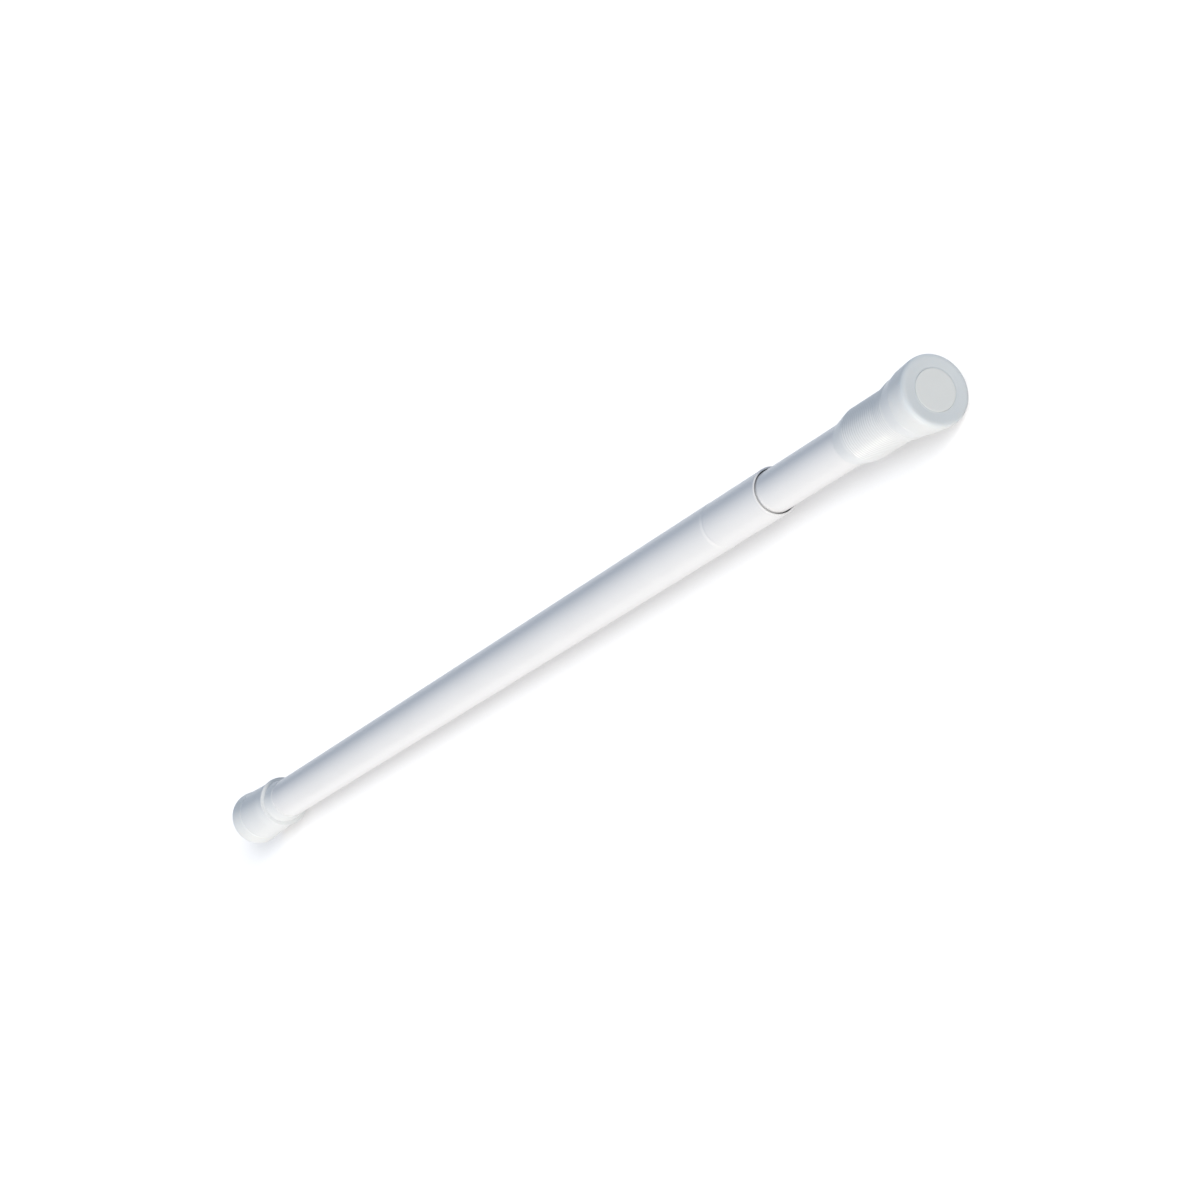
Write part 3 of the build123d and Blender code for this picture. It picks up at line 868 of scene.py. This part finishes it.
class ROD_OT_mouth_bush(bpy.types.Operator):
    """Nylon sleeve just inside the outer tube's mouth, coloured grey as painted shade for the gap
    there
    """

    bl_idname = "rod.mouth_bush"
    bl_label = "Mouth Bush"

    def execute(self, context):
        low, high = left("mouth_bush"), right("mouth_bush")
        outside = radius_of("mouth_bush")
        slide_gap = 0.05 * MM
        inside = radius_of("inner_tube") + slide_gap
        mesh = turned("guide_bush", [
            (low, inside, 0.15 * MM),
            (high, inside, 0.2 * MM),
            (high, outside, 0.1 * MM),
            (low, outside, 0.1 * MM),
        ])
        # painted shade: the bush is mid grey so that the gap in the mouth reads dark
        new_piece("guide_bush", mesh, moulded_nylon("moulded_nylon_bush", "#8F9398"),
                  "outer_section", "nylon", "mouth_bush")
        return {"FINISHED"}


class ROD_OT_spring(bpy.types.Operator):
    """Compression spring with closed, ground ends"""

    bl_idname = "rod.spring"
    bl_label = "Tension Spring"

    def execute(self, context):
        sizes = context.scene.rod_lock
        start, end = left("tension_spring"), right("tension_spring")
        wire_radius = sizes.spring_wire / 2
        coil_radius = radius_of("tension_spring") - wire_radius
        dead = 1.0                                  # closed turns at each end
        closed = 1.02 * sizes.spring_wire * dead    # their length; they all but touch
        ground = 0.35 * wire_radius                 # wire's middle, behind each ground end
        first, last = start + ground, end - ground
        open_pitch = (last - first - 2 * closed) / (sizes.spring_turns - 2 * dead)
        per_turn, sides = 40, 16
        count = int(sizes.spring_turns * per_turn)
        shape = bmesh.new()
        rings = []
        for step in range(count + 1):
            turn = step / per_turn
            if turn < dead:
                x = first + closed * turn / dead
            elif turn > sizes.spring_turns - dead:
                x = last - closed * (sizes.spring_turns - turn) / dead
            else:
                x = first + closed + open_pitch * (turn - dead)
            angle = 2 * math.pi * turn
            outward = Vector((0, math.cos(angle), math.sin(angle)))
            ring = []
            for side in range(sides):
                around = 2 * math.pi * side / sides
                reach = coil_radius + wire_radius * math.cos(around)
                point = Vector((x, 0, 0)) + outward * reach
                point.x = min(max(x + wire_radius * math.sin(around), start), end)
                ring.append(shape.verts.new(point))
            rings.append(ring)
        for ring, following in zip(rings, rings[1:]):
            for side in range(sides):
                after = (side + 1) % sides
                shape.faces.new((ring[side], ring[after], following[after], following[side]))
        shape.faces.new(rings[0])
        shape.faces.new(rings[-1])
        mesh = closed_mesh("coil_spring", shape, 50)
        piece = new_piece("coil_spring", mesh, spring_steel("spring_steel_wire"),
                          "inner_section", "spring_steel", "tension_spring")
        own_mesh(piece)
        return {"FINISHED"}


class ROD_OT_spindle(bpy.types.Operator):
    """Threaded and hexagonal steel spindle"""

    bl_idname = "rod.spindle"
    bl_label = "Spindle"

    def execute(self, context):
        sizes = context.scene.rod_lock
        tip, end = left("spindle"), right("spindle")
        shoulder = right("stop_nut")
        bevel = 0.3 * MM
        washer_gap = 0.3 * MM
        collar = right("thrust_washer") + washer_gap
        hex_start = collar + sizes.collar_length
        hex_end = left("spring_head")
        tail, tail_tip = 3 * MM, 2.6 * MM           # radii of the end that the stop nut grips
        thread_start = 3.8 * MM                     # radius of the thread's bevelled first turn
        spigot, spigot_tip = 3.5 * MM, 3.2 * MM     # radii of the end inside the spring's head
        sides = 48
        rows_per_turn = 8
        flank_slope, root_flat = 1.35, 0.15         # leave flats at each crest and root

        def round_section(radius):
            return [radius] * sides

        def hex_section():
            apothem = sizes.hex_across_flats / 2
            return [
                apothem / math.cos((angle % (math.pi / 3)) - math.pi / 6)
                for angle in (2 * math.pi * step / sides for step in range(sides))
            ]

        def thread_section(x):
            run_in = (x - shoulder) / sizes.thread_pitch
            run_out = (collar - x) / (2 * sizes.thread_pitch)
            depth = sizes.thread_depth * min(1, run_in, run_out)
            radii = []
            for step in range(sides):
                phase = (run_in - step / sides) % 1
                flank = min(max(abs(2 * phase - 1) * flank_slope - root_flat, 0), 1)
                radii.append(sizes.thread_radius - depth * flank)
            return radii

        # (x, radii round the section), from the tail to the spigot
        sections = [
            (tip, round_section(tail_tip)),
            (tip + 0.4 * MM, round_section(tail)),
            (shoulder, round_section(tail)),
            (shoulder, round_section(thread_start)),
        ]
        rows = int((collar - shoulder) / (sizes.thread_pitch / rows_per_turn))
        for row in range(1, rows):
            x = shoulder + (collar - shoulder) * row / rows
            sections.append((x, thread_section(x)))
        sections += [
            (collar, round_section(sizes.thread_radius)),
            (collar, round_section(sizes.collar_radius - bevel)),
            (collar + bevel, round_section(sizes.collar_radius)),
            (hex_start - bevel, round_section(sizes.collar_radius)),
            (hex_start, round_section(sizes.collar_radius - bevel)),
            (hex_start, hex_section()),
            (hex_end, hex_section()),
            (hex_end, round_section(spigot)),
            (end - bevel, round_section(spigot)),
            (end, round_section(spigot_tip)),
        ]
        shape = bmesh.new()
        rings = []
        for x, radii in sections:
            ring = []
            for step, radius in enumerate(radii):
                angle = 2 * math.pi * step / sides
                y, z = radius * math.cos(angle), radius * math.sin(angle)
                ring.append(shape.verts.new((x, y, z)))
            rings.append(ring)
        for ring, following in zip(rings, rings[1:]):
            for step in range(sides):
                after = (step + 1) % sides
                shape.faces.new((ring[step], ring[after], following[after], following[step]))
        shape.faces.new(rings[0])
        shape.faces.new(rings[-1])
        mesh = closed_mesh("threaded_spindle", shape, 28)
        new_piece("threaded_spindle", mesh, zinc_plate("zinc_plate_spindle", False),
                  "spindle_unit", "zinc_steel", "spindle")
        return {"FINISHED"}


class ROD_OT_lock_finishes(bpy.types.Operator):
    """Finishes of the lock's and the spring's moulded and turned parts"""

    bl_idname = "rod.lock_finishes"
    bl_label = "Lock Finishes"

    def execute(self, context):
        refinish("lock_collet", moulded_nylon("moulded_nylon_collet", "#DAD7CB"))
        refinish("spring_head", moulded_nylon("moulded_nylon_head", "#3A3C40"))
        refinish("tube_end_bush", moulded_nylon("moulded_nylon_hex_bush", "#3A3C40"))
        refinish("spring_seat", moulded_nylon("moulded_nylon_seat", "#3A3C40"))
        refinish("lock_cone", turned_acetal("turned_acetal_cone", "#2E3034"))
        refinish("drag_ring", spring_steel("spring_steel_ring"))
        refinish("thrust_washer", zinc_plate("zinc_plate_washer", True))
        refinish("stop_nut", zinc_plate("zinc_plate_nut", False))
        refinish("head_pin", zinc_plate("zinc_plate_pin", False))
        return {"FINISHED"}


def hang(name, strength, colour, breadth, place, receivers):
    """Hang a far lamp, `breadth` radians across, that lights only these receivers."""
    light = bpy.data.lights.new(name, "SUN")
    light.energy = strength
    light.color = linear(colour)[:3]
    light.angle = breadth
    lamp = bpy.data.objects.new(name, light)
    lamp.location = place
    lamp.rotation_euler = (ROD_MIDDLE - Vector(place)).to_track_quat("-Z", "Y").to_euler()
    lamp.light_linking.receiver_collection = receivers
    bpy.context.scene.collection.objects.link(lamp)
    return lamp


class ROD_OT_stage(bpy.types.Operator):
    """Pale floor, soft lamps, surrounding light and the camera"""

    bl_idname = "rod.stage"
    bl_label = "Stage"

    def execute(self, context):
        scene = context.scene
        stage = scene.rod_stage
        level = CAD_BOX[0][2]

        shape = bmesh.new()
        shape.faces.new([
            shape.verts.new((x * FLOOR_HALF, y * FLOOR_HALF, level))
            for x, y in ((-1, -1), (1, -1), (1, 1), (-1, 1))
        ])
        mesh = bpy.data.meshes.new("studio_floor")
        shape.to_mesh(mesh)
        shape.free()
        mesh.materials.append(backdrop_paper("backdrop_paper"))
        floor = bpy.data.objects.new("studio_floor", mesh)
        scene.collection.objects.link(floor)

        # the floor is lit apart from the rod, so that it stays white under a soft shadow
        floor_only = bpy.data.collections.new("lamps_for_the_floor")
        floor_only.objects.link(floor)
        all_but_floor = bpy.data.collections.new("lamps_for_the_rod")
        all_but_floor.objects.link(floor)
        all_but_floor.collection_objects[0].light_linking.link_state = "EXCLUDE"
        floor.visible_diffuse = False

        above = ROD_MIDDLE + Vector((0, 0, 2))
        overhead = hang("floor_lamp", stage.floor_lamp, "#FFF6EB", math.radians(0.526),
                        above, floor_only)
        overhead.data.use_shadow = False
        hang("side_lamp", stage.side_lamp, "#FFF5E8", math.radians(8),
             stage.side_lamp_place, all_but_floor)
        hang("end_lamp", stage.end_lamp, "#FFF8EC", math.radians(20),
             stage.end_lamp_place, all_but_floor)
        # stands for light off the floor, so the floor doesn't block it
        back = hang("back_lamp", stage.back_lamp, "#F6F8FF", math.radians(30),
                    stage.back_lamp_place, all_but_floor)
        back.light_linking.blocker_collection = all_but_floor

        place = Vector(stage.camera_place)
        top = Euler(stage.camera_turn).to_matrix() @ Vector((0, 1, 0))
        rise = (place - ROD_MIDDLE).length * math.tan(stage.shadow_lamp_rise)
        hang("shadow_lamp", stage.shadow_lamp, "#FFFFFF", stage.shadow_lamp_angle,
             place + top * rise, floor_only)

        world = bpy.data.worlds.new("studio_surround")
        scene.world = world
        world.use_nodes = True
        background = world.node_tree.nodes["Background"]
        background.inputs["Color"].default_value = linear("#AEB7C3")
        outward = add(world.node_tree, "ShaderNodeTexCoord").outputs["Generated"]
        height = add(world.node_tree, "ShaderNodeSeparateXYZ", {"Vector": outward}).outputs["Z"]
        fade = add(world.node_tree, "ShaderNodeMapRange", {
            "Value": height, "From Min": -1.0,
            "To Min": stage.sky_below, "To Max": stage.sky_above,
        })
        world.node_tree.links.new(fade.outputs["Result"], background.inputs["Strength"])

        lens = bpy.data.cameras.new("camera")
        lens.lens = stage.lens
        lens.sensor_width = 36
        lens.clip_end = 50
        camera = bpy.data.objects.new("camera", lens)
        camera.location = stage.camera_place
        camera.rotation_euler = stage.camera_turn
        scene.collection.objects.link(camera)
        scene.camera = camera
        scene.view_settings.view_transform = "Standard"
        return {"FINISHED"}


class ROD_PT_panel(bpy.types.Panel):
    """The rod's pieces, sizes and colours"""

    bl_idname = "ROD_PT_panel"
    bl_label = "Tension Rod"
    bl_space_type = "VIEW_3D"
    bl_region_type = "UI"
    bl_category = "Tension Rod"

    def draw(self, context):
        for group in SETTINGS:
            box = self.layout.box()
            settings = getattr(context.scene, group)
            for name in settings.__annotations__:
                box.prop(settings, name)
        for operator in OPERATORS:
            self.layout.operator(operator.bl_idname)


SETTINGS = {
    "rod_tubes": TubeSizes,
    "rod_caps": CapSizes,
    "rod_feet": FootSizes,
    "rod_lock": LockSizes,
    "rod_colours": RodColours,
    "rod_stage": StageSettings,
}
OPERATORS = (
    ROD_OT_tubes, ROD_OT_grip_cap, ROD_OT_far_cap, ROD_OT_feet, ROD_OT_studs, ROD_OT_mouth_bush,
    ROD_OT_spring, ROD_OT_spindle, ROD_OT_lock_finishes, ROD_OT_stage,
)
CLASSES = (*SETTINGS.values(), *OPERATORS, ROD_PT_panel)


def register():
    for each in CLASSES:
        bpy.utils.register_class(each)
    for name, group in SETTINGS.items():
        setattr(bpy.types.Scene, name, PointerProperty(type=group))


def unregister():
    for name in SETTINGS:
        delattr(bpy.types.Scene, name)
    for each in reversed(CLASSES):
        bpy.utils.unregister_class(each)


def main():
    """Make every piece and the stage."""
    register()
    bpy.ops.rod.tubes()
    bpy.ops.rod.grip_cap()
    bpy.ops.rod.far_cap()
    bpy.ops.rod.feet()
    bpy.ops.rod.studs()
    bpy.ops.rod.mouth_bush()
    bpy.ops.rod.spring()
    bpy.ops.rod.spindle()
    bpy.ops.rod.lock_finishes()
    bpy.ops.rod.stage()


if __name__ == "__main__":
    main()
